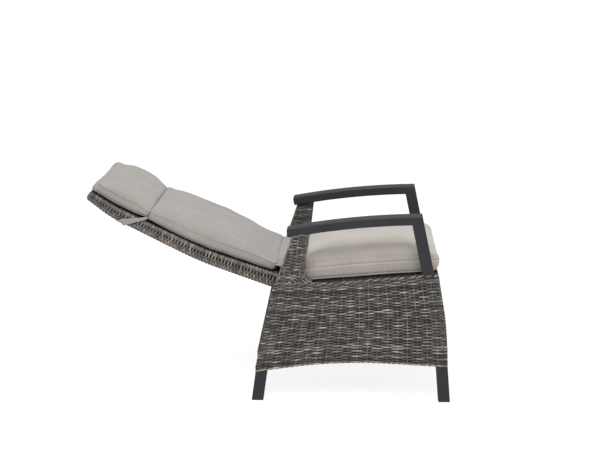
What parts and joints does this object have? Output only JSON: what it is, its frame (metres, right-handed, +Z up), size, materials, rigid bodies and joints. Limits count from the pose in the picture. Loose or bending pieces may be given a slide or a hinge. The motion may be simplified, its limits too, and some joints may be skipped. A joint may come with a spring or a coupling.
{
  "type": "reclining garden armchair",
  "caption": "Garden recliner armchair with woven sides and back, arched armrests, seat and back cushions, and a gas-spring back that lies down to a lounger.",
  "frame": {"origin": "on the floor, under the middle of the chair's bounding box with the back fully reclined", "axes": "+X the way the sitter faces, +Y to the sitter's left, +Z up"},
  "size_m": [1.2829, 0.64, 0.7734],
  "materials": {
    "weave": "woven round polyethylene strand, grey-brown",
    "frame_paint": "fine-textured anthracite powder coat on aluminium",
    "bare_tube": "mill finish",
    "cushion_fabric": "woven outdoor fabric, grey-beige",
    "black_plastic": "moulded, matt",
    "rubber": "moulded",
    "steel": "zinc plated",
    "cylinder_paint": "black lacquer",
    "rod_chrome": "hard chrome"
  },
  "bodies": {
    "base": {"arm_brackets": "frame_paint", "arm_front_screws": "steel", "arm_rear_screws": "steel", "arm_spigots": "black_plastic", "arm_upright_left": "frame_paint", "arm_upright_right": "frame_paint", "armrest_left": "frame_paint", "armrest_right": "frame_paint", "button_housing": "black_plastic", "button_spring": "steel", "foot_glides": "black_plastic", "front_apron_weave": "weave", "front_leg_left": "frame_paint", "front_leg_right": "frame_paint", "gas_cylinder": "cylinder_paint", "gas_spring_bracket": "frame_paint", "gas_spring_pin": "steel", "lower_rails": "frame_paint", "lower_side_rail_left": "bare_tube", "lower_side_rail_right": "bare_tube", "pivot_brackets": "frame_paint", "pivot_nuts": "steel", "pivot_pins": "steel", "post_stay_left": "bare_tube", "post_stay_right": "bare_tube", "post_weave_left": "weave", "post_weave_right": "weave", "rear_apron_weave": "weave", "rear_leg_left": "frame_paint", "rear_leg_right": "frame_paint", "recline_stop_pads": "rubber", "release_arm_pin": "steel", "release_cable": "black_plastic", "release_cable_wire": "steel", "release_head": "frame_paint", "seat_cushion": "cushion_fabric", "seat_deck_weave": "weave", "seat_rails": "frame_paint", "side_weave_left": "weave", "side_weave_right": "weave", "top_side_rail_left": "bare_tube", "top_side_rail_right": "bare_tube"},
    "back": {"back_cushion": "cushion_fabric", "head_cushion": "cushion_fabric", "back_weave": "weave", "head_strap": "cushion_fabric", "back_tube_left": "bare_tube", "back_tube_right": "bare_tube", "back_cross_tubes": "bare_tube", "back_pivot_tube": "frame_paint", "pivot_bushes": "black_plastic", "lever_plates": "frame_paint", "lever_pin": "steel"},
    "gas_spring_rod": {"gas_rod": "rod_chrome", "gas_piston": "steel", "gas_rod_eye": "steel"},
    "button": {"release_button": "black_plastic"},
    "rocker": {"release_arm": "frame_paint"},
    "valve": {"valve_pin": "steel"}
  },
  "joints": [
    {"name": "back_recline", "type": "hinge", "parent": "base", "child": "back", "pos_m": [0.082, 0, 0.402], "axis": [0, 1, 0], "range_deg": [0, 48]},
    {"name": "gas_rod_slide", "type": "slide", "parent": "base", "child": "gas_spring_rod", "axis": [-1, 0, 0], "range_m": [0, 0.049]},
    {"name": "release_button_press", "type": "slide", "parent": "base", "child": "button", "axis": [0, -1, 0], "range_m": [0, 0.004], "stiffness_N_per_m": 900, "springref_m": -0.003, "deforming": ["button_spring"]},
    {"name": "release_arm_rock", "type": "hinge", "parent": "base", "child": "rocker", "pos_m": [0.365, 0, 0.35359], "axis": [0, 1, 0], "range_deg": [0, 11.6]},
    {"name": "valve_pin_push", "type": "slide", "parent": "base", "child": "valve", "axis": [-1, 0, 0], "range_m": [0, 0.00182]}
  ],
  "couplings": [
    {"joint": "gas_rod_slide", "follows": "back_recline", "m_per_rad": 0.058261},
    {"joint": "release_arm_rock", "follows": "release_button_press", "rad_per_m": 50},
    {"joint": "valve_pin_push", "follows": "release_button_press", "ratio": 0.45}
  ]
}
